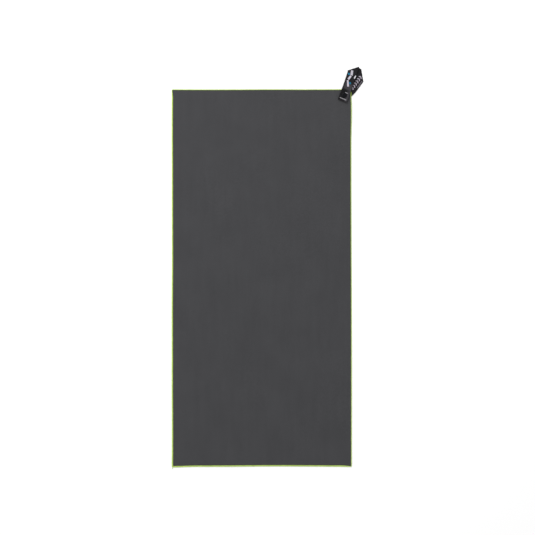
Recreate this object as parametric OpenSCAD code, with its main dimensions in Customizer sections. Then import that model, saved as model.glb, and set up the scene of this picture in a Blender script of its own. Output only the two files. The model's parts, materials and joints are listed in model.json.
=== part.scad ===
// Quick dry travel towel with an overlocked edge and a snap hanging strap.
// The towel lies flat. Origin: middle of its underside. +X across, +Y towards the strap end, +Z up.

/* [Towel] */
// Width of the towel, over its edging
towel_w = 420; // [360:10:640]
// Length of the towel, over its edging
towel_l = 880; // [700:10:1370]
// Thickness of the microfibre cloth
cloth_t = 1; // [0.8:0.1:1.4]
// Radius of the three plain corners
corner_r = 1.5; // [1:0.5:6]
// Radius of the corner that carries the strap
strap_corner_r = 9; // [8:1:12]

/* [Edging] */
// Width of the overlocked band seen on each face
edging_w = 2.6; // [2:0.1:4]
// Thickness of the band over both faces
edging_t = 1.7; // [1.5:0.1:2]
// Thickness of thread outside the cloth's cut edge
edging_wall = 0.6; // [0.4:0.1:0.9]
// Length of the thread tail at the end of the overlocked run
thread_tail_l = 3.5; // [2:0.5:6]

/* [Strap] */
// Width of the ribbon
strap_w = 22; // [20:1:24]
// Thickness of the ribbon
strap_t = 0.6; // [0.4:0.1:0.6]
// How far the front run bulges up, so that a hook goes through the closed loop
strap_bulge = 4.2; // [3.8:0.1:5]
// Length of the doubled hem at the free end
hem_l = 22; // [18:1:22]
// Length of ribbon between the two creases of the loop
middle_run_l = 24.5; // [22:0.5:26]

/* [Snap] */
// Diameter of the cap on the free end
front_cap_d = 12; // [10:0.5:13]
// Diameter of the cap behind the towel
rear_cap_d = 11; // [10:0.5:11]
// Diameter of the stud's knob
knob_d = 4.4; // [4:0.1:5]
// Gap all round between knob and socket
snap_gap = 0.15; // [0.1:0.05:0.3]

/* [Hidden] */
$fn = 64;

cloth_colour = [0.27, 0.27, 0.28];
edging_colour = [0.67, 0.80, 0.32];
strap_colour = [0.13, 0.12, 0.13];
thread_colour = [0.62, 0.60, 0.62];
snap_colour = [0.06, 0.06, 0.07];

// Heights of the layers at the strap corner, from the surface that the towel lies on
rear_cap_t = 1.2;
strap_z = rear_cap_t;                      // underside of the sewn end and the rear run
lift = strap_z + strap_t;                  // the corner's cloth lies on the sewn end
cloth_top = lift + cloth_t;
stud_base_t = 0.7;
knob_top = cloth_top + 2.1;
socket_z = cloth_top + stud_base_t + 0.3;
socket_t = 2.2;
hem_z = socket_z + socket_t;               // underside of the hem's turned-under layer
tail_z = hem_z + strap_t;                  // underside of the free end's top layer
front_cap_z = tail_z + strap_t;
front_z = lift + edging_t + 0.2;           // underside of the front run at both of its ends

// The cloth rises to the strap corner over this stretch of the towel's diagonal
corner = [towel_w / 2, towel_l / 2];
ramp_to_corner = 42;
ramp_end = (corner.x + corner.y) / sqrt(2) - ramp_to_corner;
ramp_l = 46;
ramp_steps = 10;
lip_z = 0.35;                              // the bottom thread presses this far into the cloth
reach = towel_w + towel_l;                 // longer than any line across the towel
through = 20;                              // taller than everything that is drilled
mitre = 20;                                // depth of the mitre between two sides of the edging

// Plan of the strap. An angle is the direction in which the ribbon runs, from +X. Seen from above,
// the sewn end leaves the corner from below the cloth, the rear run goes on to the side fold, the
// middle run comes back below it to the top fold, and the front run returns over the corner.
front_angle = 71.5;
rear_angle = 54;
sewn_angle = 45;
tail_angle = 69;
tail_end_angle = -23;                      // the free end's cut
top_fold_angle = 18.2;
top_fold_at = corner + [3.9, 46.2];
middle_angle = 2 * top_fold_angle - front_angle;
side_fold_at = top_fold_at + middle_run_l * heading(middle_angle);
side_fold_angle = (rear_angle + 180 + middle_angle) / 2;

// The strap bends across this line, just outside the towel's corner
flex_normal = 63.5;
flex_angle = flex_normal + 90;
flex_at = corner + [-3.5, 2.3];
flex_half = 3.5;
rear_at = meet(side_fold_at, rear_angle, flex_at, flex_angle);
front_at = meet(top_fold_at, front_angle, flex_at, flex_angle);
flex_in = flex_at - flex_half * heading(flex_normal);
flex_out = flex_at + flex_half * heading(flex_normal);
sewn_l = 31.5;                             // from the bend line to the hidden end
tail_l = 35.3;                             // from the bend line to the free end
snap_to_bend = 21.5;
snap_at = front_at - snap_to_bend * heading(tail_angle);
post_r = 0.8;                              // the posts that join each half of the snap to its cap
rivet_r = 1.25;
rivet_t = 0.2;

// Bar tacks: middle and length. Each pair is sewn in one direction.
sewn_tacks = [[rear_at - 15 * heading(sewn_angle), 6], [rear_at - 30 * heading(sewn_angle), 16]];
short_tack_at = snap_at + 7 * heading(tail_angle) + 2.8 * heading(tail_end_angle);
tail_tacks = [[short_tack_at, 6], [snap_at - 8.7 * heading(tail_angle), 15.5]];
tack_w = 1.6;
tack_t = 0.3;
tack_stitches = 6;
tack_thread_r = 0.25;

// Unit vector at an angle
function heading(a) = [cos(a), sin(a)];
// Where a line through p at angle a meets a line through q at angle b
function meet(p, a, q, b) =
    p + heading(a) * cross(q - p, heading(b)) / cross(heading(a), heading(b));
// Where one edge of a run (side 1 is its left, -1 its right) meets a line through q at angle b
function edge_at(at, angle, side, q, b) =
    meet(at + side * strap_w / 2 * heading(angle + 90), angle, q, b);
// Both edges of a run where it meets a line, left then right
function cut_of(at, angle, q, b) = [for (side = [1, -1]) edge_at(at, angle, side, q, b)];
// Plan outline between two cuts
function between(a, b) = [a[0], a[1], b[1], b[0]];
// 0 before 0, 1 after 1, and a smooth rise between
function smooth(t) = t <= 0 ? 0 : t >= 1 ? 1 : t * t * (3 - 2 * t);
// Height of the cloth's underside at a distance u along the towel's diagonal
function cloth_z(u) = lift * smooth((u - ramp_end + ramp_l) / ramp_l);
// Underside of the front run at a distance t from the flex line
function front_height(t, first, last) =
    front_z + strap_bulge * pow(sin(180 * min(1, max(0, (t - first) / (last - first)))), 2);

sewn_inner = cut_of(rear_at, sewn_angle,
    rear_at - sewn_l * heading(sewn_angle), sewn_angle + 90);
sewn_outer = cut_of(rear_at, sewn_angle, flex_in, flex_angle);
rear_inner = cut_of(rear_at, rear_angle, flex_out, flex_angle);
rear_outer = cut_of(rear_at, rear_angle, side_fold_at, side_fold_angle);
middle_side = cut_of(side_fold_at, middle_angle, side_fold_at, side_fold_angle);
middle_top = cut_of(side_fold_at, middle_angle, top_fold_at, top_fold_angle);
front_inner = cut_of(front_at, front_angle, flex_out, flex_angle);
front_outer = cut_of(front_at, front_angle, top_fold_at, top_fold_angle);
tail_outer = cut_of(front_at, tail_angle, flex_in, flex_angle);
tail_inner = cut_of(front_at, tail_angle,
    front_at - tail_l * heading(tail_angle), tail_end_angle);

// ---------- shared shapes ----------

// A layer of cloth between two heights above its own underside, rising to the strap corner
module cloth_layer(low, high) {
    far = reach / 2;
    us = concat([-far], [for (i = [0 : ramp_steps]) ramp_end - ramp_l + i * ramp_l / ramp_steps],
        [far]);
    under = [for (u = us) [u, cloth_z(u) + low]];
    over = [for (i = [len(us) - 1 : -1 : 0]) [us[i], cloth_z(us[i]) + high]];
    rotate([90, 0, 45])
        linear_extrude(reach, center = true)
            polygon(concat(under, over));
}

// The sliver outside a rounded corner, at the origin with the corner towards +X and +Y
module corner_sliver(r) {
    difference() {
        translate([-r, -r]) square(r + 1);
        translate([-r, -r]) circle(r);
    }
}

// The towel's plan, drawn in by a margin
module towel_outline(margin) {
    half = [towel_w / 2 - margin, towel_l / 2 - margin];
    difference() {
        translate(-half) square(2 * half);
        for (sx = [0, 1], sy = [0, 1]) {
            r = (sx + sy == 0 ? strap_corner_r : corner_r) - margin;
            if (r > 0)
                mirror([sx, 0])
                    mirror([0, sy])
                        translate(half)
                            corner_sliver(r);
        }
    }
}

// A plan shape, taller than everything
module prism() {
    linear_extrude(2 * through, center = true) children();
}

// The cloth inside a margin, between two heights
module cloth_part(low, high, margin) {
    intersection() {
        cloth_layer(low, high);
        prism() towel_outline(margin);
    }
}

// Flat ribbon over a plan outline
module ribbon(outline, z) {
    translate([0, 0, z]) linear_extrude(strap_t) polygon(outline);
}

// Solid standing on a vertical profile [t, z], where t runs from a point at an angle
module standing(at, angle, profile) {
    translate([at.x, at.y, 0])
        rotate([90, 0, angle])
            linear_extrude(3 * strap_w, center = true)
                polygon(profile);
}

// Half a tube along a fold line, with the ribbon's turn on the side of angle + turn
module fold(at, angle, width, outer_r, turn) {
    translate([at.x, at.y, outer_r])
        rotate([0, 0, angle])
            intersection() {
                rotate([0, 90, 0]) difference() {
                    cylinder(h = width, r = outer_r, center = true);
                    cylinder(h = width + 1, r = outer_r - strap_t, center = true);
                }
                translate([0, turn * outer_r, 0])
                    cube([width + 2, 2 * outer_r, 3 * outer_r], center = true);
            }
}

// The stitches of the bar tacks that go through, between two heights
module tack_stitches(tacks, angle, low, high) {
    for (tack = tacks)
        translate([tack[0].x, tack[0].y, low]) rotate([0, 0, angle])
            for (i = [0 : tack_stitches - 1])
                translate([(i / (tack_stitches - 1) - 0.5) * (tack[1] - tack_w), 0, 0])
                    cylinder(h = high - low, r = tack_thread_r);
}

// Bar tacks: thread above and below, joined by the stitches that go through
module bar_tacks(tacks, angle, low, high) {
    for (tack = tacks, z = [low - tack_t / 2, high + tack_t / 2])
        translate([tack[0].x, tack[0].y, z]) rotate([0, 0, angle])
            cube([tack[1], tack_w, tack_t], center = true);
    tack_stitches(tacks, angle, low - tack_t / 2, high + tack_t / 2);
}

// Puts a piece of the snap at its place, at a height
module at_snap(z) {
    translate([snap_at.x, snap_at.y, z]) children();
}

// Round piece with a bevelled rim on its top or, turned over, on its underside
module button(d, t, bevel) {
    cylinder(h = t - bevel, d = d);
    translate([0, 0, t - bevel]) cylinder(h = bevel, d1 = d, d2 = d - 2 * bevel);
}

// ---------- towel ----------

module towel_panel() {
    color(cloth_colour) difference() {
        union() {
            cloth_part(0, cloth_t, edging_w);
            cloth_part(lip_z, cloth_t, edging_wall);
        }
        at_snap(0) cylinder(h = through, r = post_r);
        tack_stitches(sewn_tacks, sewn_angle + 90, 0, through);
    }
}

// One side of the edging. The region is the plan in which that side lies.
module edging(region) {
    color(edging_colour) difference() {
        intersection() {
            cloth_part(0, edging_t, 0);
            prism() difference() {
                polygon(region);
                towel_outline(edging_w);
            }
        }
        cloth_part(lip_z, cloth_t, edging_wall);
    }
}

// Plan region of one side between its mitred corners, for a side that runs along X. The corners
// are at [-along, out] and [along, out].
function side_region(along, out) = [
    [-along - 1, out + 1],
    [along + 1, out + 1],
    [along - mitre, out - mitre],
    [-along + mitre, out - mitre]
];
// The same region for a side that runs along Y
function turned(points) = [for (p = points) [p.y, p.x]];

module edging_top() { edging(side_region(towel_w / 2, towel_l / 2)); }
module edging_bottom() { edging(-1 * side_region(towel_w / 2, towel_l / 2)); }
module edging_right() { edging(turned(side_region(towel_l / 2, towel_w / 2))); }
module edging_left() { edging(-1 * turned(side_region(towel_l / 2, towel_w / 2))); }

module edging_thread_tail() {
    tail_r = 0.8;
    color(edging_colour)
        translate([-towel_w / 2 + corner_r + tail_r, -towel_l / 2, edging_t / 2])
            rotate([90, 0, 0]) cylinder(h = thread_tail_l, r = tail_r);
}

// ---------- strap ----------

module strap_sewn_end() {
    color(strap_colour) difference() {
        ribbon(between(sewn_inner, sewn_outer), strap_z);
        at_snap(0) cylinder(h = through, r = post_r);
        tack_stitches(sewn_tacks, sewn_angle + 90, 0, through);
    }
}

module strap_rear_flex() { color(strap_colour) ribbon(between(sewn_outer, rear_inner), strap_z); }
module strap_rear_run() { color(strap_colour) ribbon(between(rear_inner, rear_outer), strap_z); }
module strap_middle_run() { color(strap_colour) ribbon(between(middle_top, middle_side), 0); }

module strap_side_fold() {
    width = norm(rear_outer[0] - rear_outer[1]);
    color(strap_colour) fold(side_fold_at, side_fold_angle, width, (strap_z + strap_t) / 2, -1);
}

module strap_top_fold() {
    width = norm(front_outer[0] - front_outer[1]);
    color(strap_colour) fold(top_fold_at, top_fold_angle, width, (front_z + strap_t) / 2, 1);
}

module strap_front_run() {
    first = 5;
    last = 35;
    steps = 16;
    ts = concat([-strap_w], [for (i = [0 : steps]) first + i * (last - first) / steps],
        [last + 2 * strap_w]);
    under = [for (t = ts) [t, front_height(t, first, last)]];
    over = [for (i = [len(ts) - 1 : -1 : 0]) under[i] + [0, strap_t]];
    color(strap_colour) intersection() {
        standing(front_at, front_angle, concat(under, over));
        prism() polygon(between(front_inner, front_outer));
    }
}

module strap_front_flex() {
    color(strap_colour) ribbon(between(tail_outer, front_inner), front_z);
}

module strap_tail() {
    slope_start = -flex_half - 0.5;
    slope_end = -12;
    profile = [[strap_w, front_z], [slope_start, front_z], [slope_end, tail_z],
        [-2 * tail_l, tail_z]];
    over = [for (i = [len(profile) - 1 : -1 : 0]) profile[i] + [0, strap_t]];
    hem_start = hem_l - tail_l;
    hem_top = tail_z + strap_t / 2;        // reaches into the top layer
    hem = [[-3 * tail_l, hem_z], [hem_start, hem_z], [hem_start, hem_top], [-3 * tail_l, hem_top]];
    color(strap_colour) difference() {
        intersection() {
            union() {
                standing(flex_at, flex_normal, concat(profile, over));
                standing(front_at, tail_angle, hem);
            }
            prism() polygon(between(tail_inner, tail_outer));
        }
        at_snap(0) cylinder(h = through, r = post_r);
        tack_stitches(tail_tacks, tail_end_angle, 0, through);
    }
}

// ---------- stitching ----------

module base_stitching() {
    color(thread_colour) bar_tacks(sewn_tacks, sewn_angle + 90, strap_z, cloth_top);
}

module tail_stitching() {
    color(thread_colour) bar_tacks(tail_tacks, tail_end_angle, hem_z, front_cap_z);
}

// ---------- snap ----------

module snap_rear_cap() {
    color(snap_colour) {
        at_snap(rear_cap_t) mirror([0, 0, 1]) button(rear_cap_d, rear_cap_t, 0.4);
        at_snap(rear_cap_t) cylinder(h = knob_top - rivet_t - rear_cap_t, r = post_r);
        at_snap(knob_top - rivet_t) cylinder(h = rivet_t, r = rivet_r);
    }
}

module snap_stud() {
    base_d = 9;
    neck_r = knob_d / 2 - 0.2;
    neck_top = knob_top - 1.1;
    color(snap_colour) difference() {
        union() {
            at_snap(cloth_top) cylinder(h = stud_base_t, d = base_d);
            at_snap(cloth_top) cylinder(h = neck_top - cloth_top, r = neck_r);
            at_snap(neck_top) cylinder(h = knob_top - rivet_t - neck_top, d = knob_d);
        }
        at_snap(0) cylinder(h = through, r = post_r);
    }
}

module snap_socket() {
    socket_d = 9.4;
    roof_t = 0.5;
    color(snap_colour) difference() {
        at_snap(socket_z) cylinder(h = socket_t, d = socket_d);
        at_snap(socket_z - 1)
            cylinder(h = socket_t + 1 - roof_t, r = knob_d / 2 + snap_gap);
        at_snap(0) cylinder(h = through, r = post_r);
    }
}

module snap_front_cap() {
    roof_z = hem_z - 0.5;
    color(snap_colour) {
        at_snap(front_cap_z) button(front_cap_d, 1.4, 0.7);
        at_snap(roof_z) cylinder(h = front_cap_z - roof_z, r = post_r);
        at_snap(roof_z - rivet_t) cylinder(h = rivet_t, r = rivet_r);
    }
}

towel_panel();
edging_top();
edging_bottom();
edging_left();
edging_right();
edging_thread_tail();
strap_sewn_end();
strap_rear_flex();
strap_rear_run();
strap_side_fold();
strap_middle_run();
strap_top_fold();
strap_front_run();
strap_front_flex();
strap_tail();
base_stitching();
tail_stitching();
snap_rear_cap();
snap_stud();
snap_socket();
snap_front_cap();
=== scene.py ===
import json
import math
import random

import bpy
import numpy as np
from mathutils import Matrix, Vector


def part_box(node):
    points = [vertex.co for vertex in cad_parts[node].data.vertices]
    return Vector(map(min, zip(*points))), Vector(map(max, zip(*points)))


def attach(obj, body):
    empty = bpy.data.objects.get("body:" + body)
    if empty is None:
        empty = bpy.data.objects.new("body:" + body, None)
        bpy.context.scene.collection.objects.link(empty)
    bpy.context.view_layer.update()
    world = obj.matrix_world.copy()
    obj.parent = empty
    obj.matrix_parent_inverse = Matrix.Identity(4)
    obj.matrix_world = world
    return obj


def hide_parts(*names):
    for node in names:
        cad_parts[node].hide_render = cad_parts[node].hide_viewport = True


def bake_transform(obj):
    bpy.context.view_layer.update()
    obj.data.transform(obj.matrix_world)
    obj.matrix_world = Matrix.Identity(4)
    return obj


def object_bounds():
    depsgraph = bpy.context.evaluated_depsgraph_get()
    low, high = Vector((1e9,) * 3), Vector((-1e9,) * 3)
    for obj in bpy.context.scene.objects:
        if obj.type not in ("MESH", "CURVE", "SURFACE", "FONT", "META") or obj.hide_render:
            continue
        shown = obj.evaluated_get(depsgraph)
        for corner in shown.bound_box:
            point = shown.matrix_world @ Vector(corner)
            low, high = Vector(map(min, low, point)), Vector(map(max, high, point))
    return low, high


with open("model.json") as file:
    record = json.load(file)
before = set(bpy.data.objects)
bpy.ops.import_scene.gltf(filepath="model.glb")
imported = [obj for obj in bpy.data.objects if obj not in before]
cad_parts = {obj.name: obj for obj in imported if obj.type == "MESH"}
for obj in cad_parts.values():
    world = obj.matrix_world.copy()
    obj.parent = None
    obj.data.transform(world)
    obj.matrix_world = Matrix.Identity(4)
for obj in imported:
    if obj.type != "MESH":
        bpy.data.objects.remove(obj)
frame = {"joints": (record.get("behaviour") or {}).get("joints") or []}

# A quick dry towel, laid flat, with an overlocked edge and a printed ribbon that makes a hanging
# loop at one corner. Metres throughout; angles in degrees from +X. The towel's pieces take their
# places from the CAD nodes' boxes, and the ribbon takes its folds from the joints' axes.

MM = 0.001
CAD_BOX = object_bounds()

# ---------------------------------------------------------------- small tools


def smooth(t):
    """0 before 0, 1 after 1, and a smooth rise between."""
    t = np.clip(t, 0.0, 1.0)
    return t * t * (3 - 2 * t)


def past(v, start, length):
    """0 up to start, and a smooth rise over length to 1."""
    return smooth((v - start) / length)


def heading(degrees):
    """Unit vector in plan."""
    a = math.radians(degrees)
    return np.array([math.cos(a), math.sin(a)])


def cross2(a, b):
    return a[0] * b[1] - a[1] * b[0]


def unit(v):
    return v / np.maximum(np.linalg.norm(v, axis=-1, keepdims=True), 1e-12)


def mesh_object(name, verts, faces, materials, uv=None, face_material=None):
    """A smooth-shaded mesh. uv is one pair for each vertex."""
    mesh = bpy.data.meshes.new(name)
    mesh.from_pydata(np.asarray(verts, float).tolist(), [], [list(f) for f in faces])
    for material in materials:
        mesh.materials.append(material)
    mesh.polygons.foreach_set("use_smooth", [True] * len(mesh.polygons))
    if face_material is not None:
        mesh.polygons.foreach_set("material_index", list(face_material))
    if uv is not None:
        layer = mesh.uv_layers.new(name="UVMap")
        corner = np.zeros(len(mesh.loops), np.int32)
        mesh.loops.foreach_get("vertex_index", corner)
        layer.data.foreach_set("uv", np.asarray(uv, np.float32)[corner].ravel())
    mesh.update()
    obj = bpy.data.objects.new(name, mesh)
    bpy.context.scene.collection.objects.link(obj)
    return obj


def merged(parts):
    """Joins (verts, faces) pairs into one."""
    verts, faces, start = [], [], 0
    for v, f in parts:
        verts.append(np.asarray(v, float))
        faces.extend([[i + start for i in face] for face in f])
        start += len(v)
    return np.concatenate(verts), faces


def tube(path, radius, sides=6):
    """A closed tube along a path, with its frame carried along without twist."""
    path = np.asarray(path, float)
    along = unit(np.gradient(path, axis=0))
    seed = np.array([0.0, 0.0, 1.0]) if abs(along[0][2]) < 0.9 else np.array([1.0, 0.0, 0.0])
    angles = np.arange(sides) * 2 * math.pi / sides
    rings = []
    for point, t in zip(path, along):
        seed = seed - t * seed.dot(t)
        seed = seed / max(np.linalg.norm(seed), 1e-9)
        other = np.cross(t, seed)
        rings.append(point + radius * (np.outer(np.cos(angles), seed) + np.outer(np.sin(angles), other)))
    count = len(path)
    faces = []
    for i in range(count - 1):
        a, b = i * sides, (i + 1) * sides
        for j in range(sides):
            k = (j + 1) % sides
            faces.append((a + j, a + k, b + k, b + j))
    faces.append(tuple(range(sides - 1, -1, -1)))
    faces.append(tuple(range((count - 1) * sides, count * sides)))
    return np.concatenate(rings), faces


def lathe(profile, centre, segments=64):
    """A closed solid turned about +Z from (radius, height) pairs that start and end on the axis."""
    verts, faces = [], []
    ring = []
    for r, z in profile:
        if r < 1e-9:
            ring.append([len(verts)])
            verts.append((centre[0], centre[1], z))
            continue
        ring.append(list(range(len(verts), len(verts) + segments)))
        for k in range(segments):
            a = 2 * math.pi * k / segments
            verts.append((centre[0] + r * math.cos(a), centre[1] + r * math.sin(a), z))
    for a, b in zip(ring, ring[1:]):
        for k in range(segments):
            n = (k + 1) % segments
            if len(a) == 1:
                faces.append((a[0], b[k], b[n]))
            elif len(b) == 1:
                faces.append((a[k], b[0], a[n]))
            else:
                faces.append((a[k], b[k], b[n], a[n]))
    return verts, faces


# ---------------------------------------------------------------- materials


class Nodes:
    """Short calls for building a node material."""

    def __init__(self, material):
        """Takes a material, or the name of a new one."""
        if isinstance(material, str):
            material = bpy.data.materials.new(material)
        self.material = material
        self.material.use_nodes = True
        self.tree = self.material.node_tree
        self.shader = self.tree.nodes["Principled BSDF"]

    def node(self, kind, **settings):
        n = self.tree.nodes.new(kind)
        for key, value in settings.items():
            setattr(n, key, value)
        return n

    def put(self, socket, value):
        """Links a socket or sets a value."""
        if isinstance(value, bpy.types.NodeSocket):
            self.tree.links.new(value, socket)
        else:
            socket.default_value = value

    def math(self, operation, a, b=0.0):
        n = self.node("ShaderNodeMath", operation=operation)
        self.put(n.inputs[0], a)
        self.put(n.inputs[1], b)
        return n.outputs[0]

    def noise(self, vector, scale, detail=2.0, rough=0.5):
        """Noise with about this many features to each unit of the vector."""
        n = self.node("ShaderNodeTexNoise")
        self.put(n.inputs["Vector"], vector)
        n.inputs["Scale"].default_value = scale
        n.inputs["Detail"].default_value = detail
        n.inputs["Roughness"].default_value = rough
        return n.outputs["Fac"]

    def ramp(self, value, low, high, to_low=0.0, to_high=1.0):
        n = self.node("ShaderNodeMapRange", interpolation_type="SMOOTHSTEP")
        for socket, v in zip(n.inputs, (value, low, high, to_low, to_high)):
            self.put(socket, v)
        return n.outputs[0]

    def mix(self, factor, a, b):
        n = self.node("ShaderNodeMix", data_type="RGBA")
        self.put(n.inputs["Factor"], factor)
        self.put(n.inputs["A"], a)
        self.put(n.inputs["B"], b)
        return n.outputs["Result"]

    def scaled(self, vector, x, y, z):
        n = self.node("ShaderNodeMapping")
        self.put(n.inputs["Vector"], vector)
        n.inputs["Scale"].default_value = (x, y, z)
        return n.outputs[0]

    def bump(self, height, distance, strength):
        n = self.node("ShaderNodeBump")
        n.inputs["Strength"].default_value = strength
        n.inputs["Distance"].default_value = distance
        self.put(n.inputs["Height"], height)
        return n.outputs[0]

    def coords(self, which):
        return self.node("ShaderNodeTexCoord").outputs[which]


def rgb(*srgb):
    """A linear colour from 0 to 255 display values."""
    linear = [c / 255 / 12.92 if c <= 10 else ((c / 255 + 0.055) / 1.055) ** 2.4 for c in srgb]
    return (*linear, 1.0)


def cloth_material():
    """Charcoal microfibre: a very short nap over a fine knit, brushed unevenly, with broad patches
    and streaks along Y that differ by a few tones."""
    n = Nodes("microfibre_cloth")
    place = n.coords("Object")
    patches = n.noise(place, 13.0, 2.0, 0.5)
    brushed = n.noise(n.scaled(place, 70.0, 9.0, 70.0), 1.0, 2.0, 0.5)
    nap = n.noise(place, 1500.0, 2.0, 0.7)
    slow = n.math("ADD", n.math("MULTIPLY", patches, 0.63), n.math("MULTIPLY", brushed, 0.37))
    slow = n.ramp(slow, 0.2, 0.8)
    roots = n.mix(slow, rgb(48, 48, 50), rgb(53, 53, 55))
    tips = n.mix(slow, rgb(69, 69, 71), rgb(74, 74, 76))
    n.put(n.shader.inputs["Base Color"], n.mix(n.ramp(nap, 0.3, 0.7), roots, tips))
    n.put(n.shader.inputs["Roughness"], n.ramp(nap, 0.3, 0.7, 0.82, 0.95))
    n.shader.inputs["Specular IOR Level"].default_value = 0.15
    n.shader.inputs["Sheen Weight"].default_value = 0.15
    n.shader.inputs["Sheen Roughness"].default_value = 0.6
    n.shader.inputs["Sheen Tint"].default_value = (0.75, 0.76, 0.8, 1.0)
    knit = n.node("ShaderNodeTexVoronoi", feature="SMOOTH_F1")
    n.put(knit.inputs["Vector"], place)
    knit.inputs["Scale"].default_value = 1100.0
    height = n.math("ADD", n.math("MULTIPLY", knit.outputs["Distance"], -0.6), nap)
    n.put(n.shader.inputs["Normal"], n.bump(height, 0.16 * MM, 0.8))
    return n.material


def thread_material(name, dark, light, scale):
    """Spun thread: fine twisted plies that catch the light."""
    n = Nodes(name)
    place = n.coords("Object")
    ply = n.noise(place, scale, 2.0, 0.5)
    length = n.noise(place, 90.0, 2.0, 0.5)
    tone = n.math("ADD", n.math("MULTIPLY", ply, 0.7), n.math("MULTIPLY", length, 0.3))
    n.put(n.shader.inputs["Base Color"], n.mix(n.ramp(tone, 0.3, 0.7), dark, light))
    n.shader.inputs["Roughness"].default_value = 0.62
    n.shader.inputs["Specular IOR Level"].default_value = 0.3
    n.shader.inputs["Sheen Weight"].default_value = 0.2
    n.put(n.shader.inputs["Normal"], n.bump(ply, 0.06 * MM, 0.6))
    return n.material


WARP = 0.42 * MM              # pitch of the ribbon's warp threads
RIB = 0.9 * MM                # pitch of the ribs across it


def ribbon_base(n, uv, reverse):
    """The woven ground of the ribbon: dark ribs across, warp threads along."""
    split = n.node("ShaderNodeSeparateXYZ")
    n.put(split.inputs[0], uv)
    across, along = split.outputs[0], split.outputs[1]
    warp = n.math("SINE", n.math("MULTIPLY", across, 2 * math.pi / WARP))
    weft = n.math("SINE", n.math("MULTIPLY", along, 2 * math.pi / RIB))
    weave = n.math("MULTIPLY", warp, weft)
    fuzz = n.noise(n.scaled(uv, 3000.0, 3000.0, 1.0), 1.0, 2.0, 0.6)
    fade = n.noise(n.scaled(uv, 90.0, 60.0, 1.0), 1.0, 3.0, 0.6)
    tone = n.math("ADD", n.math("MULTIPLY", weave, 0.12), n.math("MULTIPLY", fuzz, 0.5))
    tone = n.math("ADD", tone, n.math("MULTIPLY", fade, 0.5))
    dark, light = (rgb(22, 21, 23), rgb(40, 38, 41)) if reverse else (rgb(14, 13, 15), rgb(34, 32, 35))
    ground = n.mix(n.ramp(tone, 0.3, 0.75), dark, light)
    n.shader.inputs["Roughness"].default_value = 0.62
    n.shader.inputs["Specular IOR Level"].default_value = 0.14
    n.shader.inputs["Sheen Weight"].default_value = 0.05
    height = n.math("ADD", n.math("MULTIPLY", weave, 0.35), n.math("MULTIPLY", fuzz, 0.4))
    n.put(n.shader.inputs["Normal"], n.bump(height, 0.07 * MM, 0.8))
    return across, along, ground, fuzz


def reverse_material():
    """The ribbon's unprinted side."""
    n = Nodes("ribbon_reverse")
    _, _, ground, _ = ribbon_base(n, n.coords("UV"), True)
    n.put(n.shader.inputs["Base Color"], ground)
    return n.material


MARK_FADE = 0.13              # mm, half the width over which a printed mark's edge fades
WASH_FADE = 4.0               # the same for a wash


def print_and_painted_light_material(material, marks):
    """The ribbon's face: its print, and washes of painted sheen and painted shade. Each mark is (shape,
    place, half width, half length, lean, colour), with the sizes in mm and the lean in degrees. The shape
    is a bar, a dot, or a wash, which is a bar with a soft outline."""
    n = Nodes(material)
    across, along, colour, fuzz = ribbon_base(n, n.coords("UV"), False)
    # How fully each mark covers the weave, for the print's ink and the painted sheen and shade alike
    ink_and_painted_light_cover = n.ramp(fuzz, 0.28, 0.45, 0.55, 1.0)

    def within(distance, half, fade):
        """1 up to half, in mm, and 0 beyond it."""
        return n.ramp(distance, (half - fade) * MM, (half + fade) * MM, 1.0, 0.0)

    for shape, (u, v), half_w, half_l, lean, tint in marks:
        x = n.math("SUBTRACT", across, float(u))
        y = n.math("SUBTRACT", along, float(v))
        c, s = (float(k) for k in heading(lean))
        px = n.math("ADD", n.math("MULTIPLY", x, c), n.math("MULTIPLY", y, s))
        py = n.math("SUBTRACT", n.math("MULTIPLY", y, c), n.math("MULTIPLY", x, s))
        fade = WASH_FADE if shape == "wash" else MARK_FADE
        if shape == "dot":
            square = n.math("ADD", n.math("MULTIPLY", px, px), n.math("MULTIPLY", py, py))
            mask = within(n.math("SQRT", square), half_w, fade)
        else:
            in_x = within(n.math("ABSOLUTE", px), half_w, fade)
            in_y = within(n.math("ABSOLUTE", py), half_l, fade)
            mask = n.math("MULTIPLY", in_x, in_y)
        colour = n.mix(n.math("MULTIPLY", mask, ink_and_painted_light_cover), colour, tint)
    n.put(n.shader.inputs["Base Color"], colour)


def snap_material():
    """Moulded black plastic, polished on top and faintly scuffed."""
    n = Nodes("snap_plastic")
    place = n.coords("Object")
    scuffs = n.noise(n.scaled(place, 1200.0, 260.0, 1200.0), 1.0, 4.0, 0.7)
    haze = n.noise(place, 500.0, 3.0, 0.6)
    n.put(n.shader.inputs["Base Color"], n.mix(haze, rgb(4, 5, 9), rgb(10, 11, 16)))
    n.put(n.shader.inputs["Roughness"], n.ramp(scuffs, 0.35, 0.75, 0.2, 0.42))
    n.shader.inputs["Specular IOR Level"].default_value = 0.12
    n.put(n.shader.inputs["Normal"], n.bump(scuffs, 0.02 * MM, 0.4))
    return n.material


def floor_material():
    """A white studio floor."""
    n = Nodes("studio_floor")
    shade = n.mix(n.noise(n.coords("Object"), 3.0), rgb(252, 252, 252), rgb(254, 254, 254))
    n.put(n.shader.inputs["Base Color"], shade)
    n.shader.inputs["Roughness"].default_value = 1.0
    n.shader.inputs["Specular IOR Level"].default_value = 0.0
    # A faint glow keeps the far corners as white as the middle
    n.shader.inputs["Emission Color"].default_value = (1.0, 1.0, 1.0, 1.0)
    n.shader.inputs["Emission Strength"].default_value = 0.08
    return n.material


# ---------------------------------------------------------------- camera, floor and light

LENS = 100.0
SENSOR = 36.0
FRAME_SHARE = 1.3332          # the picture's height over the object's length

low, high = (np.array(c) for c in CAD_BOX)
middle = (low + high) / 2
picture = FRAME_SHARE * (high[1] - low[1])

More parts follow.
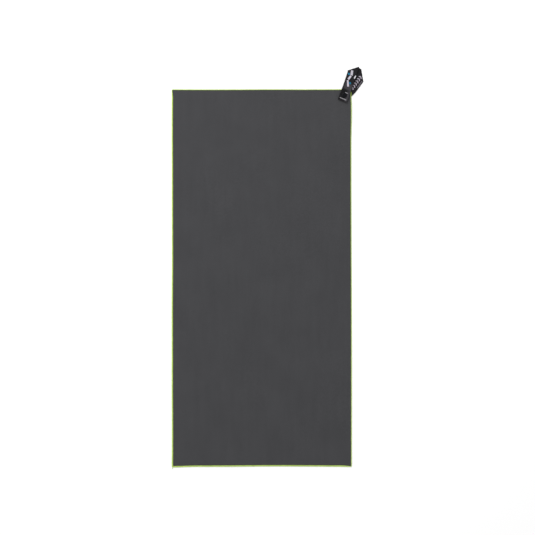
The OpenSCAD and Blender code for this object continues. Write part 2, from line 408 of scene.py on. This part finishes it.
camera_data = bpy.data.cameras.new("camera")
camera_data.lens = LENS
camera_data.sensor_width = SENSOR
camera_data.clip_end = 20.0
camera = bpy.data.objects.new("camera", camera_data)
camera.location = (middle[0], middle[1], picture * LENS / SENSOR)
bpy.context.scene.collection.objects.link(camera)
bpy.context.scene.camera = camera

FLOOR_HALF = 6.0
floor_corners = [(sx * FLOOR_HALF, sy * FLOOR_HALF, 0) for sx, sy in ((-1, -1), (1, -1), (1, 1), (-1, 1))]
floor = mesh_object("floor", floor_corners, [(0, 1, 2, 3)], [floor_material()])


def area_light(name, place, target, size, power):
    data = bpy.data.lights.new(name, "AREA")
    data.size = size
    data.energy = power
    obj = bpy.data.objects.new(name, data)
    obj.location = place
    direction = Vector(target) - Vector(place)
    obj.rotation_euler = direction.to_track_quat("-Z", "Y").to_euler()
    bpy.context.scene.collection.objects.link(obj)


area_light("key", (-1.0, 1.7, 1.9), (0.0, 0.1, 0.0), 1.8, 44.0)
area_light("fill", (-1.4, -0.2, 2.2), (0.0, 0.0, 0.0), 2.4, 5.0)

world = bpy.data.worlds.new("studio")
bpy.context.scene.world = world
world.use_nodes = True
background = world.node_tree.nodes["Background"]
background.inputs["Color"].default_value = (1.0, 1.0, 1.0, 1.0)
background.inputs["Strength"].default_value = 0.69
bpy.context.scene.view_settings.view_transform = "Standard"

# ---------------------------------------------------------------- the lie of the cloth

HALF_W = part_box("edging_right")[1].x
HALF_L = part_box("edging_top")[1].y
CLOTH_T = 1.0 * MM
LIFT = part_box("towel_panel")[1].z - CLOTH_T     # how far the strap corner is raised
RAMP_TO_CORNER = 42 * MM
RAMP_L = 46 * MM
PLAIN_R = 2.7 * MM            # radius of three corners
STRAP_R = 9.5 * MM            # radius of the strap's corner
CALM_R = 50 * MM              # the cloth has no waves this near the strap's corner,
CALM_FADE = 80 * MM           # and its full waves this much further out
FINE_WAVE = 0.16 * MM
SLOW_WAVE = 0.22 * MM
CREASE_INSET = 10 * MM        # the crease beside the right edge
CREASE_W = 1.2 * MM
CREASE_DEPTH = 0.12 * MM


def near_strap(x, y):
    """1 at the strap's corner, 0 away from it."""
    return 1 - past(np.hypot(x - HALF_W, y - HALF_L), CALM_R, CALM_FADE)


def corner_radius(sx, sy):
    """The radius of the corner on these sides of the middle, each -1 or 1."""
    return STRAP_R if sx + sy == 2 else PLAIN_R


def lie(x, y):
    """Height of the cloth's underside over the floor."""
    diagonal = (x + y) / math.sqrt(2)
    end = (HALF_W + HALF_L) / math.sqrt(2) - RAMP_TO_CORNER
    rise = LIFT * past(diagonal, end - RAMP_L, RAMP_L)
    wave = np.sin(x * 31 + 1.7 * np.sin(y * 7.3)) * np.sin(y * 17 + 2.1 * np.sin(x * 9.1) + 0.6)
    slow = np.sin(x * 11.3 - y * 5.9 + 0.9) * np.sin(y * 8.3 + x * 3.1)
    ripple = FINE_WAVE * (wave + 1) + SLOW_WAVE * (slow + 1)
    return rise + ripple * (1 - near_strap(x, y))


def drift(x, y):
    """How far the soft cloth strays from a true rectangle, in plan. Each edge has its own waves,
    in mm. The bottom left corner is pulled out, and the strap's corner is drawn in."""
    calm = 1 - near_strap(x, y)
    right = 0.5 + 0.5 * np.clip(x / HALF_W, -1, 1)
    top = 0.5 + 0.5 * np.clip(y / HALF_L, -1, 1)
    left_edge = 0.22 * np.sin(y * 13.0 + 0.4) + 0.12 * np.sin(y * 31.0) + 0.15
    right_edge = 0.35 * np.sin(y * 9.0 + 2.0) + 1.1 * past(-y, -0.1, 0.5) - 0.5
    top_edge = 0.2 * np.sin(x * 21.0 + 1.0)
    bottom_edge = 0.45 * np.sin(x * 17.0 + 0.8)
    pulled = 1.6 * past(-x, 0.15, 0.06) * past(-y, 0.38, 0.06)
    drawn_in = 0.7 * past(y, 0.4, 0.02) * past(x, 0.15, 0.05)
    dx = ((left_edge * (1 - right) + right_edge * right) * calm - drawn_in) * MM
    dy = (top_edge * top + bottom_edge * (1 - top) - pulled) * MM * calm
    return dx, dy


def on_cloth(x, y, h):
    """The place of a point of the flat cloth, at a height over its underside."""
    dx, dy = drift(x, y)
    return np.stack([x + dx, y + dy, lie(x, y) + h], axis=-1)


def rounded(x, y):
    """Draws the square corners of a grid in to round ones."""
    x, y = x.copy(), y.copy()
    for sx in (-1, 1):
        for sy in (-1, 1):
            r = corner_radius(sx, sy)
            a = (sx * x - (HALF_W - r)) / r
            b = (sy * y - (HALF_L - r)) / r
            inside = (a > 0) & (b > 0)
            x[inside] = sx * (HALF_W - r + r * a[inside] * np.sqrt(1 - b[inside] ** 2 / 2))
            y[inside] = sy * (HALF_L - r + r * b[inside] * np.sqrt(1 - a[inside] ** 2 / 2))
    return x, y


def graded(half, fine, coarse, band):
    """Grid lines over -half to half, finer near both ends."""
    near = np.linspace(0, band, max(2, round(band / fine) + 1))
    far = np.linspace(band, half, max(2, round((half - band) / coarse) + 1))
    one = np.concatenate([near, far[1:]])
    right = half - one
    return np.concatenate([-right, right[::-1][1:]])


FINE_GRID, COARSE_GRID, FINE_BAND = 0.8 * MM, 3.5 * MM, 14 * MM
GRIPPED_LOW, GRIPPED_HIGH = 0.35 * MM, 0.72 * MM     # the squeezed edge's faces, over the underside


def cloth_sheet():
    """The panel: a thin closed sheet, squeezed where the edging grips it."""
    margin = 0.6 * MM
    xs = graded(HALF_W - margin, FINE_GRID, COARSE_GRID, FINE_BAND)
    ys = graded(HALF_L - margin, FINE_GRID, COARSE_GRID, FINE_BAND)
    scale_x, scale_y = HALF_W / (HALF_W - margin), HALF_L / (HALF_L - margin)
    gx, gy = np.meshgrid(xs, ys, indexing="ij")
    rx, ry = rounded(gx * scale_x, gy * scale_y)
    rx, ry = rx / scale_x, ry / scale_y
    inset = np.minimum(HALF_W - np.abs(gx), HALF_L - np.abs(gy))
    free = past(inset, 2.0 * MM, 2.6 * MM)
    under = on_cloth(rx, ry, GRIPPED_LOW * (1 - free))
    off_crease = (gx - (HALF_W - CREASE_INSET)) / CREASE_W
    crease = np.exp(-(off_crease ** 2)) * past(-gy, 0.22, 0.1)
    top = GRIPPED_HIGH + (CLOTH_T - GRIPPED_HIGH) * free
    over = on_cloth(rx, ry, top - CREASE_DEPTH * crease)
    nx, ny = gx.shape
    count = nx * ny
    verts = np.concatenate([over.reshape(-1, 3), under.reshape(-1, 3)])
    faces = []
    for i in range(nx - 1):
        for j in range(ny - 1):
            a, b, c, d = i * ny + j, (i + 1) * ny + j, (i + 1) * ny + j + 1, i * ny + j + 1
            faces.append((a, b, c, d))
            faces.append((count + d, count + c, count + b, count + a))
    rim = [i * ny for i in range(nx)]
    rim += [(nx - 1) * ny + j for j in range(1, ny)]
    rim += [i * ny + ny - 1 for i in range(nx - 2, -1, -1)]
    rim += [j for j in range(ny - 2, 0, -1)]
    for a, b in zip(rim, rim[1:] + rim[:1]):
        faces.append((b, a, count + a, count + b))
    return verts, faces


# ---------------------------------------------------------------- overlocked edge

STITCH = 1.5 * MM
THREAD_R = 0.3 * MM
NEEDLE_R = 0.2 * MM
NEEDLE_INSET = 2.25 * MM
NARROW_SHARE, WIDE_SHARE = 0.64, 1.32
WIDENS_OVER = 20 * MM         # length of edge over which the narrow stitches become wide ones
CORNER_STEPS = 9
BED_STEP = 2 * MM
BED = [
    # outline of the bed of thread: in from the edge and up from the underside, in mm
    (2.5, 0.75), (2.3, 1.2), (1.4, 1.28), (0.5, 1.2), (0.2, 0.85),
    (0.25, 0.4), (0.6, 0.12), (2.2, 0.1), (2.5, 0.4),
]


def edge_path(side):
    """Points and outward normals along one side, from the middle of one corner to the next."""
    angle = {"top": 90, "left": 180, "bottom": 270, "right": 0}[side]
    points, normals = [], []
    for turn in (45, -45):
        corner = heading(angle + turn)
        sx, sy = np.sign(corner)
        r = corner_radius(sx, sy)
        centre = np.array([sx * (HALF_W - r), sy * (HALF_L - r)])
        first, last = (angle + turn, angle) if turn > 0 else (angle, angle + turn)
        for a in np.linspace(first, last, CORNER_STEPS):
            points.append(centre + r * heading(a))
            normals.append(heading(a))
    points, normals = np.array(points), np.array(normals)
    lengths = np.concatenate([[0], np.cumsum(np.linalg.norm(np.diff(points, axis=0), axis=1))])
    return points, normals, lengths


def stitch_share(p):
    """How wide the overlock is sewn: narrow on the top and right sides, wider on the other two."""
    from_narrow = np.minimum(HALF_W - p[..., 0], HALF_L - p[..., 1])
    return NARROW_SHARE + (WIDE_SHARE - NARROW_SHARE) * smooth(from_narrow / WIDENS_OVER)


def edge_at(path, s, inset, h):
    """A place on the edging: along the side, inside the edge, over the underside."""
    points, normals, lengths = path
    s = np.clip(s, 0, lengths[-1])
    p = np.stack([np.interp(s, lengths, points[:, k]) for k in (0, 1)], axis=-1)
    n = unit(np.stack([np.interp(s, lengths, normals[:, k]) for k in (0, 1)], axis=-1))
    p = p - n * (np.asarray(inset) * stitch_share(p))[..., None]
    return on_cloth(p[..., 0], p[..., 1], h)


def band(path):
    """The bed of thread under the stitches: a channel that wraps the cloth's edge."""
    stations = np.arange(0, path[2][-1] + BED_STEP / 2, BED_STEP)
    rings = [edge_at(path, stations, np.full(len(stations), i * MM), h * MM) for i, h in BED]
    sides = len(BED)
    verts = np.stack(rings, axis=1).reshape(-1, 3)
    faces = []
    for k in range(len(stations) - 1):
        for j in range(sides):
            n = (j + 1) % sides
            faces.append((k * sides + j, k * sides + n, (k + 1) * sides + n, (k + 1) * sides + j))
    faces.append(tuple(range(sides - 1, -1, -1)))
    faces.append(tuple(range((len(stations) - 1) * sides, len(stations) * sides)))
    return verts, faces


def looper(path, over, dice):
    """One looper thread: out to the edge and back in for each stitch, on the face or the back."""
    # Heights in mm over the cloth's underside
    if over:
        needle_h, crown_h, slope_h, edge_h = 1.1, 1.36, 1.28, 0.95
    else:
        needle_h, crown_h, slope_h, edge_h = 0.4, 0.3, 0.3, 0.5
    s, inset, h = [], [], []
    for i in range(int(path[2][-1] / STITCH)):
        wander = dice.uniform(-0.12, 0.12)
        reach = 2.38 + dice.uniform(-0.16, 0.12)
        # How far through the stitch, how far in from the edge, and how high
        for share, d, z in (
            (0.0, reach, needle_h),
            (0.2, 1.6, crown_h),
            (0.4, 0.6, slope_h),
            (0.5, 0.22 + 0.3 * wander, edge_h),
            (0.6, 0.6, slope_h),
            (0.8, 1.6, crown_h),
        ):
            s.append((i + share) * STITCH + 0.2 * MM * wander)
            inset.append(d * MM)
            h.append(z * MM)
    return tube(edge_at(path, np.array(s), np.array(inset), np.array(h)), THREAD_R, 5)


def needle_line(path):
    """The straight stitches along the inner side of the band."""
    count = int(path[2][-1] / STITCH)
    shares = np.array([0.0, 0.25, 0.5, 0.75])
    heights = np.array([0.95, 1.35, 1.42, 1.35])    # mm: each stitch dips where it goes in
    s = (np.arange(count)[:, None] + shares).ravel() * STITCH
    h = np.tile(heights, count) * MM
    return tube(edge_at(path, s, np.full(len(s), NEEDLE_INSET), h), NEEDLE_R, 5)


def edging(side, seed):
    """All the thread along one side of the towel."""
    path = edge_path(side)
    dice = random.Random(seed)
    return merged([band(path), looper(path, True, dice), looper(path, False, dice), needle_line(path)])


def thread_tail():
    """The chain of thread left at the end of the overlocked run: three strands, loosely twisted."""
    lo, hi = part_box("edging_thread_tail")
    middle_x, middle_z = (lo.x + hi.x) / 2, (lo.z + hi.z) / 2
    dx, dy = drift(np.array(lo.x), np.array(-HALF_L))
    steps = np.linspace(0, 1, 24)
    start_y = hi.y + 1.5 * MM                       # inside the edging
    y = start_y - (start_y - lo.y) * steps + float(dy)
    strands, turns, strand_r = 3, 1.4, 0.24 * MM
    parts = []
    for k in range(strands):
        a = 2 * math.pi * (k / strands + turns * steps)
        spread = (0.32 + 0.25 * steps ** 3) * MM
        x = middle_x + float(dx) + spread * np.cos(a) - 0.9 * MM * steps ** 2
        z = np.maximum(middle_z + spread * np.sin(a) - 0.25 * MM * steps, 0.3 * MM)
        parts.append(tube(np.stack([x, y, z], axis=-1), strand_r, 6))
    return merged(parts)


# ---------------------------------------------------------------- ribbon

joint = {j["name"]: j for j in frame["joints"]}
RIBBON_W = 22 * MM
RIBBON_T = 0.46 * MM
CAD_HALF_T = 0.3 * MM         # half the thickness of the CAD's ribbon

# Heights of the ribbon's middle: sewn end, middle run, front, turned-under hem and free end
SEWN_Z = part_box("strap_sewn_end")[0].z + CAD_HALF_T
FLAT_Z = CAD_HALF_T
FRONT_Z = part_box("strap_front_flex")[0].z + CAD_HALF_T
HEM_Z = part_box("strap_tail")[1].z - 3 * CAD_HALF_T
TAIL_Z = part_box("strap_tail")[1].z - CAD_HALF_T
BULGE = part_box("strap_front_run")[1].z - CAD_HALF_T - FRONT_Z
BULGE_FROM = 5 * MM           # where the front run's bulge starts, from the bend line
BULGE_L = 30 * MM
TAIL_STEP_L = 8 * MM          # length over which the free end climbs over the stud

# Directions of the ribbon's runs, as the CAD lays them
FRONT, REAR, SEWN, TAIL, TAIL_CUT = 71.5, 54, 45, 69, -23
MIDDLE_L = 24.5 * MM
SEWN_L, TAIL_L, HEM_L = 31.5 * MM, 35.3 * MM, 22 * MM
FLEX_HALF = 3.5 * MM
TOP_BLEND = (1.9 * MM, 3.6 * MM)     # heights between which the top fold turns

bend_axis = np.array(joint["loop_swing"]["axis"][:2])
BEND = math.degrees(math.atan2(bend_axis[1], bend_axis[0]))      # along the bend line
OUT = BEND + 90                                                  # from the towel's corner outwards
bend_at = np.array(joint["loop_swing"]["pos_m"][:2])
fold_axis = np.array(joint["loop_open"]["axis"][:2])
TOP_FOLD = math.degrees(math.atan2(-fold_axis[1], -fold_axis[0]))
top_at = np.array(joint["loop_open"]["pos_m"][:2])
TOP_Z = joint["loop_open"]["pos_m"][2]
MIDDLE = 2 * TOP_FOLD - FRONT
side_at = top_at + MIDDLE_L * heading(MIDDLE)
SIDE_FOLD = (REAR + 180 + MIDDLE) / 2
SIDE_Z = (SEWN_Z + FLAT_Z) / 2


def meet(p, a, q, b):
    """Where a line through p at angle a meets a line through q at angle b."""
    return p + heading(a) * cross2(q - p, heading(b)) / cross2(heading(a), heading(b))


rear_at = meet(side_at, REAR, bend_at, BEND)
front_at = meet(top_at, FRONT, bend_at, BEND)
flex_in = bend_at - FLEX_HALF * heading(OUT)
flex_out = bend_at + FLEX_HALF * heading(OUT)


def cut(at, angle, q, b):
    """Both edges of a run where it meets a line: the left one, then the right one."""
    return np.array([meet(at + side * RIBBON_W / 2 * heading(angle + 90), angle, q, b) for side in (1, -1)])


COLUMNS = 31
across = np.linspace(0, 1, COLUMNS)
ROW = 0.22 * MM


def flat_rows(a, b, height):
    """Rows of the ribbon between two cuts, at a height that height(plan points) gives."""
    count = max(2, round(np.linalg.norm(b.mean(0) - a.mean(0)) / ROW))
    t = np.linspace(0, 1, count)[:, None, None]
    edges = a[None] * (1 - t) + b[None] * t
    plan = edges[:, :1] * (1 - across[None, :, None]) + edges[:, 1:] * across[None, :, None]
    return np.concatenate([plan, height(plan)[..., None]], axis=-1)


def fold_rows(a, out, z, radius, first, last):
    """Rows around a fold at a cut: angles are from the outward direction, up being 90."""
    count = max(7, round(radius * math.pi / ROW))
    plan = a[:1] * (1 - across[:, None]) + a[1:] * across[:, None]
    turned = np.radians(np.linspace(first, last, count))
    rows = plan[None] + (radius * np.cos(turned))[:, None, None] * heading(out)
    heights = np.broadcast_to((z + radius * np.sin(turned))[:, None, None], (count, COLUMNS, 1))
    return np.concatenate([rows, heights], axis=-1)


def level(z):
    return lambda plan: np.full(plan.shape[:2], z)


def front_height(plan):
    """The front run's bulge, which leaves room for a hook."""
    t = (plan - front_at) @ heading(FRONT)
    return FRONT_Z + BULGE * np.sin(math.pi * np.clip((t - BULGE_FROM) / BULGE_L, 0, 1)) ** 2


def tail_height(plan):
    """The free end's climb from the cloth onto the stud."""
    u = (plan - bend_at) @ heading(OUT)
    return FRONT_Z + (TAIL_Z - FRONT_Z) * past(-u, FLEX_HALF + 0.5 * MM, TAIL_STEP_L)


def joined(*runs):
    """Runs of rows end to end, without the rows that repeat."""
    return np.concatenate([runs[0]] + [r[1:] for r in runs[1:]])


RIB_H = 0.04 * MM
ROUND_W = 0.5 * MM            # how far in from its edges the ribbon is rounded
SELVEDGE_H, SELVEDGE_W, SELVEDGE_INSET = 0.05 * MM, 0.5 * MM, 0.9 * MM


def ribbon(name, rows, start, materials):
    """A ribbon with woven ribs and rounded selvedges. start is where each column of its first row
    lies along the whole ribbon. Returns the object and the same for its last row."""
    steps = np.linalg.norm(np.diff(rows, axis=0), axis=2)
    along = start + np.concatenate([np.zeros((1, COLUMNS)), np.cumsum(steps, axis=0)])
    normal = unit(np.cross(np.gradient(rows, axis=1), np.gradient(rows, axis=0)))
    edge = np.minimum(across, 1 - across) * RIBBON_W
    rounding = 1 - np.clip(edge / ROUND_W, 0.0, 1.0)
    half = RIBBON_T / 2 * np.sqrt(np.clip(1 - rounding ** 2, 0.15, 1))
    selvedge = SELVEDGE_H * np.exp(-(((edge - SELVEDGE_INSET) / SELVEDGE_W) ** 2))
    ribs = RIB_H * np.sin(2 * math.pi * along / RIB)
    depth = (half + selvedge)[None, :] + ribs * np.clip(edge / MM, 0, 1)[None, :]
    face = rows + normal * depth[..., None]
    back = rows - normal * depth[..., None]
    count = rows.shape[0] * COLUMNS
    verts = np.concatenate([face.reshape(-1, 3), back.reshape(-1, 3)])
    u = np.broadcast_to(across * RIBBON_W, rows.shape[:2])
    uv = np.tile(np.stack([u.ravel(), along.ravel()], axis=-1), (2, 1))
    faces, which = [], []
    for i in range(rows.shape[0] - 1):
        for j in range(COLUMNS - 1):
            a, b = i * COLUMNS + j, (i + 1) * COLUMNS + j
            faces += [(a, a + 1, b + 1, b), (count + b, count + b + 1, count + a + 1, count + a)]
            which += [0, 1]
        for j in (0, COLUMNS - 1):
            a, b = i * COLUMNS + j, (i + 1) * COLUMNS + j
            quad = (a, b, count + b, count + a)
            faces.append(quad if j == 0 else quad[::-1])
            which.append(1)
    for i in (0, rows.shape[0] - 1):
        for j in range(COLUMNS - 1):
            a = i * COLUMNS + j
            quad = (a + 1, a, count + a, count + a + 1)
            faces.append(quad if i == 0 else quad[::-1])
            which.append(1)
    obj = mesh_object(name, verts, faces, materials, uv, which)
    return obj, along


def at3(plan, z):
    return (float(plan[0]), float(plan[1]), float(z))


# Cuts, each with the edge that is on the left of the ribbon's printed face first
sewn_inner = cut(rear_at, SEWN, rear_at - SEWN_L * heading(SEWN), SEWN + 90)
sewn_outer = cut(rear_at, SEWN, flex_in, BEND)
rear_inner = cut(rear_at, REAR, flex_out, BEND)
rear_outer = cut(rear_at, REAR, side_at, SIDE_FOLD)
front_outer = cut(front_at, FRONT, top_at, TOP_FOLD)[::-1]
front_inner = cut(front_at, FRONT, flex_out, BEND)[::-1]
tail_outer = cut(front_at, TAIL, flex_in, BEND)[::-1]
tail_inner = cut(front_at, TAIL, front_at - TAIL_L * heading(TAIL), TAIL_CUT)[::-1]
hem_inner = cut(front_at, TAIL, front_at - (TAIL_L - HEM_L) * heading(TAIL), TAIL + 90)[::-1]

rear_rows = joined(
    flat_rows(sewn_inner, sewn_outer, level(SEWN_Z)),
    flat_rows(sewn_outer, rear_inner, level(SEWN_Z)),
    flat_rows(rear_inner, rear_outer, level(SEWN_Z)),
)
loop_rows = joined(
    fold_rows(rear_outer, SIDE_FOLD - 90, SIDE_Z, SEWN_Z - SIDE_Z, 90, -90),
    flat_rows(rear_outer, front_outer, level(FLAT_Z)),
    fold_rows(front_outer, TOP_FOLD + 90, TOP_Z, FRONT_Z - TOP_Z, -90, 90),
    flat_rows(front_outer, front_inner, front_height),
)
tail_rows = joined(
    flat_rows(front_inner, tail_outer, level(FRONT_Z)),
    flat_rows(tail_outer, tail_inner, tail_height),
    fold_rows(tail_inner, TAIL_CUT - 90, (HEM_Z + TAIL_Z) / 2, (TAIL_Z - HEM_Z) / 2, 90, -90),
    flat_rows(tail_inner, hem_inner, level(HEM_Z)),
)

plain_back = reverse_material()
print_and_painted_light_face = bpy.data.materials.new("ribbon_print_and_painted_light")
rear_piece, rear_along = ribbon("ribbon_rear", rear_rows, np.zeros(COLUMNS), [print_and_painted_light_face, plain_back])
loop_piece, loop_along = ribbon("ribbon_loop", loop_rows, rear_along[-1], [print_and_painted_light_face, plain_back])
tail_piece, _ = ribbon("ribbon_tail", tail_rows, loop_along[-1], [print_and_painted_light_face, plain_back])

# The print, with washes of painted sheen and painted shade, in places along and across the ribbon. A run's
# own places are along its heading from the bend line, and to the left of its heading.
rear_from = np.mean(rear_along[-1] - (rear_rows[-1, :, :2] - rear_at) @ heading(REAR))
front_from = np.mean(loop_along[-1] + (loop_rows[-1, :, :2] - front_at) @ heading(FRONT))


def on_rear(t, left):
    """A place on the rear run, in mm."""
    return RIBBON_W / 2 - left * MM, rear_from + t * MM


def on_front(t, left):
    """A place on the front run or the free end, in mm."""
    return RIBBON_W / 2 + left * MM, front_from - t * MM


# The first two are painted sheen and painted shade for the ribbon's washes; the rest are the print's
# colours
PAINTED_SHEEN = rgb(58, 56, 60)
PAINTED_SHADE = rgb(6, 6, 8)
BRIGHT = rgb(211, 209, 216)
OFF_WHITE = rgb(198, 192, 204)
SILVER = rgb(186, 182, 192)
PALE = rgb(172, 164, 177)
GREY = rgb(134, 127, 138)
TEAL = rgb(30, 112, 146)
MARKS = [
    # shape, place, half width, half length, lean from the ribbon's own direction, colour
    # Painted sheen: a lighter wash over the bend at the flex, standing in for light on its slope
    ("wash", on_front(0.0, -3.0), 11.0, 9.0, 0, PAINTED_SHEEN),
    # Painted shade: a dark wash over the free end's left side, around the snap cap
    ("wash", on_front(-17.0, 3.0), 9.0, 9.5, 0, PAINTED_SHADE),
    # Painted sheen: a lighter wash along the free end's right side
    ("wash", on_front(-22.0, -9.0), 5.0, 12.0, 0, PAINTED_SHEEN),
    ("bar", on_front(35.0, 0.9), 2.8, 6.0, 10, SILVER),
    ("bar", on_front(21.8, 2.4), 2.1, 5.4, -19, OFF_WHITE),
    ("bar", on_front(7.8, 1.9), 2.1, 7.2, 23, OFF_WHITE),
    ("bar", on_front(29.0, -9.2), 1.3, 4.2, -10, BRIGHT),
    ("dot", on_front(29.5, 6.4), 2.8, 2.8, 0, TEAL),
    ("dot", on_front(10.6, -2.6), 2.6, 2.6, 0, TEAL),
]
CHEVRON_PITCH, CHEVRON_LEAN, DASH_PITCH = 6.3, 40, 3.4
for k in range(6):
    # A row of chevrons along the rear run, with a row of dashes beside it
    for side in (-1, 1):
        place = on_rear(2.5 + CHEVRON_PITCH * k, 0.8 + 2.0 * side)
        MARKS.append(("bar", place, 1.15, 2.5, 90 + CHEVRON_LEAN * side, PALE))
    MARKS.append(("bar", on_rear(12.0 + DASH_PITCH * k, -7.9), 0.7, 1.2, 0, GREY))
print_and_painted_light_material(print_and_painted_light_face, MARKS)

# ---------------------------------------------------------------- stitching


def bar_tack(at, angle, length, z, up):
    """Satin stitches packed side by side across a short bar. up is 1 on a face, -1 on a back."""
    width, pitch, radius = 2.0 * MM, 0.4 * MM, 0.17 * MM
    run, side = heading(angle), heading(angle + 90)
    points = []
    for i in range(round(2 * length / pitch) + 1):
        sign = 1 if i % 2 else -1
        for share, h in ((-1.0, 0.0), (-0.5, 0.2), (0.5, 0.2)):
            step = (i + (share + 1) / 2) * pitch / 2
            p = at + run * (step - length / 2) + side * (sign * share * width / 2)
            points.append((p[0], p[1], z + up * h * MM))
    return tube(points, radius, 6)


lo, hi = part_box("snap_front_cap")
snap_at = np.array([(lo.x + hi.x) / 2, (lo.y + hi.y) / 2])
CLOTH_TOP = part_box("snap_stud")[0].z
TAIL_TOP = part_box("strap_tail")[1].z - 0.05 * MM

# Each tack is (where, angle, length): a short and a long one on each end of the ribbon
ON_FREE_END = (
    (snap_at + 7 * MM * heading(TAIL) + 2.8 * MM * heading(TAIL_CUT), TAIL_CUT, 6 * MM),
    (snap_at - 8.7 * MM * heading(TAIL), TAIL_CUT, 15.5 * MM),
)
ON_SEWN_END = (
    (rear_at - 15 * MM * heading(SEWN), SEWN + 90, 6 * MM),
    (rear_at - 30 * MM * heading(SEWN), SEWN + 90, 16 * MM),
)


def sewn_through(tacks, top, bottom):
    """Bar tacks that show on both faces of what they sew."""
    faces = ((top, 1), (bottom, -1))
    return merged([bar_tack(*tack, z, up) for z, up in faces for tack in tacks])


free_end_stitches = sewn_through(ON_FREE_END, TAIL_TOP, HEM_Z - CAD_HALF_T)
sewn_end_stitches = sewn_through(ON_SEWN_END, CLOTH_TOP, SEWN_Z - CAD_HALF_T)

# ---------------------------------------------------------------- snap


def turned_piece(name, node, profile, material):
    """A turned piece at the snap's axis. Heights in the profile are in mm over the node's underside."""
    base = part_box(node)[0].z
    verts, faces = lathe([(r * MM, base + z * MM) for r, z in profile], snap_at)
    return mesh_object(name, verts, faces, [material])


plastic = snap_material()
front_cap = turned_piece("snap_front_cap_piece", "snap_front_cap", [
    (0, 0), (1.2, 0), (1.2, 0.2), (0.8, 0.25), (0.8, 1.9), (5.6, 1.9), (5.9, 2.0), (6.0, 2.25), (5.95, 2.5),
    (5.7, 2.85), (5.2, 3.1), (4.4, 3.2), (3.6, 3.22), (3.2, 3.17), (2.6, 3.14), (1.2, 3.13), (0.5, 3.13),
    (0.4, 3.2), (0, 3.22),
], plastic)
socket = turned_piece("snap_socket_piece", "snap_socket", [
    (0.85, 1.7), (2.35, 1.7), (2.35, 0.9), (2.25, 0.5), (2.4, 0.15), (2.7, 0.0), (3.6, 0.0), (3.9, 0.3),
    (3.9, 1.2), (4.5, 1.35), (4.7, 1.6), (4.7, 2.0), (4.5, 2.2), (0.85, 2.2), (0.85, 1.7),
], plastic)
stud = turned_piece("snap_stud_piece", "snap_stud", [
    (0.85, 0.0), (4.3, 0.0), (4.5, 0.2), (4.5, 0.5), (4.2, 0.7), (2.3, 0.7), (1.95, 0.85), (1.95, 1.0),
    (2.15, 1.25), (2.2, 1.5), (2.0, 1.8), (1.7, 1.9), (0.85, 1.9), (0.85, 0.0),
], plastic)
rear_cap = turned_piece("snap_rear_cap_piece", "snap_rear_cap", [
    (0, 0.02), (2.5, 0.0), (4.4, 0.05), (5.1, 0.25), (5.45, 0.6), (5.5, 0.9), (5.3, 1.15), (0.8, 1.2),
    (0.8, 4.7), (1.2, 4.7), (1.2, 4.88), (0, 4.9),
], plastic)

# ---------------------------------------------------------------- towel pieces

cloth = mesh_object("towel_cloth", *cloth_sheet(), [cloth_material()])
lime = thread_material("edging_thread", rgb(160, 190, 74), rgb(206, 230, 124), 2600.0)
tack_thread = thread_material("tack_thread", rgb(118, 116, 120), rgb(176, 174, 178), 3000.0)

edges = [
    mesh_object(f"overlock_{side}", *edging(side, seed), [lime])
    for seed, side in enumerate(("top", "bottom", "left", "right"))
]
chain = mesh_object("overlock_tail", *thread_tail(), [lime])
tail_tack = mesh_object("tail_tacks", *free_end_stitches, [tack_thread])
sewn_tack = mesh_object("sewn_tacks", *sewn_end_stitches, [tack_thread])

# ---------------------------------------------------------------- which body each piece rides on; the ribbon's pieces are only baked in place

for obj, body, slot, nodes in (
    (cloth, "towel", "cloth", ["towel_panel"]),
    (edges[0], "towel", "edging", ["edging_top"]),
    (edges[1], "towel", "edging", ["edging_bottom"]),
    (edges[2], "towel", "edging", ["edging_left"]),
    (edges[3], "towel", "edging", ["edging_right"]),
    (chain, "towel", "edging", ["edging_thread_tail"]),
    (sewn_tack, "towel", "stitching", ["base_stitching"]),
    (rear_cap, "towel", "snap", ["snap_rear_cap"]),
    (stud, "towel", "snap", ["snap_stud"]),
    (tail_tack, "strap_tail", "stitching", ["tail_stitching"]),
    (socket, "strap_tail", "snap", ["snap_socket"]),
    (front_cap, "strap_tail", "snap", ["snap_front_cap"]),
):
    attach(obj, body)
    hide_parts(*nodes)

for obj, bodies, start, end, nodes in (
    (rear_piece, ("towel", "strap_rear"), at3(flex_in, SEWN_Z), at3(flex_out, SEWN_Z),
     ["strap_sewn_end", "strap_rear_flex", "strap_rear_run"]),
    (loop_piece, ("strap_rear", "strap_front"), at3(top_at, TOP_BLEND[0]), at3(top_at, TOP_BLEND[1]),
     ["strap_side_fold", "strap_middle_run", "strap_top_fold", "strap_front_run"]),
    (tail_piece, ("strap_front", "strap_tail"), at3(flex_out, FRONT_Z), at3(flex_in, FRONT_Z),
     ["strap_front_flex", "strap_tail"]),
):
    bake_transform(obj)
    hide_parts(*nodes)
